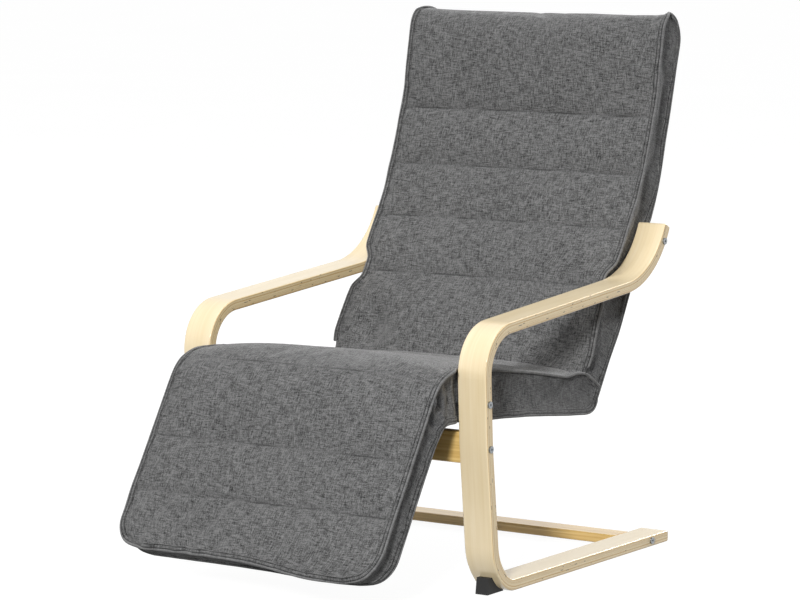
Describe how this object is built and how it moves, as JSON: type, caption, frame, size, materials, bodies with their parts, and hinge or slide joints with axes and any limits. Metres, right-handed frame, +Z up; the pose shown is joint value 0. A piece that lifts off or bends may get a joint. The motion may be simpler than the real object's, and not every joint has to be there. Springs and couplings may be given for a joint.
{
  "type": "reclining armchair",
  "caption": "Cantilevered bentwood armchair with a tall padded back, a padded seat and a hinged footrest that ratchets up at the knee.",
  "frame": {"origin": "on the floor, under the middle of the plan outline with the footrest lowered", "axes": "+X to the sitter's left, +Y to the rear, +Z up; the footrest points to -Y"},
  "size_m": [0.676, 1.0957, 1.014],
  "materials": {
    "birch_bentwood": "satin clear lacquer on birch veneer, plies showing at the edges",
    "birch_board": "satin clear lacquer",
    "inner_wood": "planed, unfinished",
    "rubber": "matte moulded",
    "zinc_steel": "bright zinc plate",
    "spring_steel": "plain spring steel",
    "padded_cover": "grey melange linen-look weave over foam padding",
    "cover_cloth": "grey melange linen-look weave"
  },
  "bodies": {
    "chair": {"arm_bolts": "zinc_steel", "back_bottom_rail": "inner_wood", "back_cover": "cover_cloth", "back_cushion": "padded_cover", "back_slat_1": "inner_wood", "back_slat_2": "inner_wood", "back_slat_3": "inner_wood", "back_slat_4": "inner_wood", "back_slat_5": "inner_wood", "back_top_rail": "inner_wood", "barrel_nuts": "zinc_steel", "bolt_spacers": "zinc_steel", "bracket_screws": "zinc_steel", "front_crossbar": "birch_board", "front_crossbar_bolts": "zinc_steel", "hinge_seat_screws": "zinc_steel", "left_back_upright": "inner_wood", "left_corner_bracket": "zinc_steel", "left_front_foot": "rubber", "left_hinge_pin": "zinc_steel", "left_hinge_seat_plate": "zinc_steel", "left_ratchet_wheel": "zinc_steel", "left_seat_rail": "inner_wood", "left_side_frame": "birch_bentwood", "rear_crossbar": "birch_board", "rear_crossbar_bolts": "zinc_steel", "right_back_upright": "inner_wood", "right_corner_bracket": "zinc_steel", "right_front_foot": "rubber", "right_hinge_pin": "zinc_steel", "right_hinge_seat_plate": "zinc_steel", "right_ratchet_wheel": "zinc_steel", "right_seat_rail": "inner_wood", "right_side_frame": "birch_bentwood", "seat_bolts": "zinc_steel", "seat_cover": "cover_cloth", "seat_cushion": "padded_cover", "seat_front_rail": "inner_wood", "seat_rear_rail": "inner_wood", "seat_slat_1": "inner_wood", "seat_slat_2": "inner_wood", "seat_slat_3": "inner_wood", "seat_slat_4": "inner_wood"},
    "footrest": {"footrest_cover": "cover_cloth", "footrest_cushion": "padded_cover", "footrest_end_rail": "inner_wood", "footrest_slat_1": "inner_wood", "footrest_slat_2": "inner_wood", "footrest_slat_3": "inner_wood", "hinge_footrest_screws": "zinc_steel", "left_detent_spring": "spring_steel", "left_footrest_rail": "inner_wood", "left_hinge_footrest_plate": "zinc_steel", "right_detent_spring": "spring_steel", "right_footrest_rail": "inner_wood", "right_hinge_footrest_plate": "zinc_steel"}
  },
  "joints": [
    {"name": "footrest_hinge", "type": "hinge", "parent": "chair", "child": "footrest", "pos_m": [0, -0.30053, 0.36817], "axis": [-1, 0, 0], "range_deg": [0, 60], "deforming": ["left_detent_spring", "right_detent_spring"]}
  ]
}
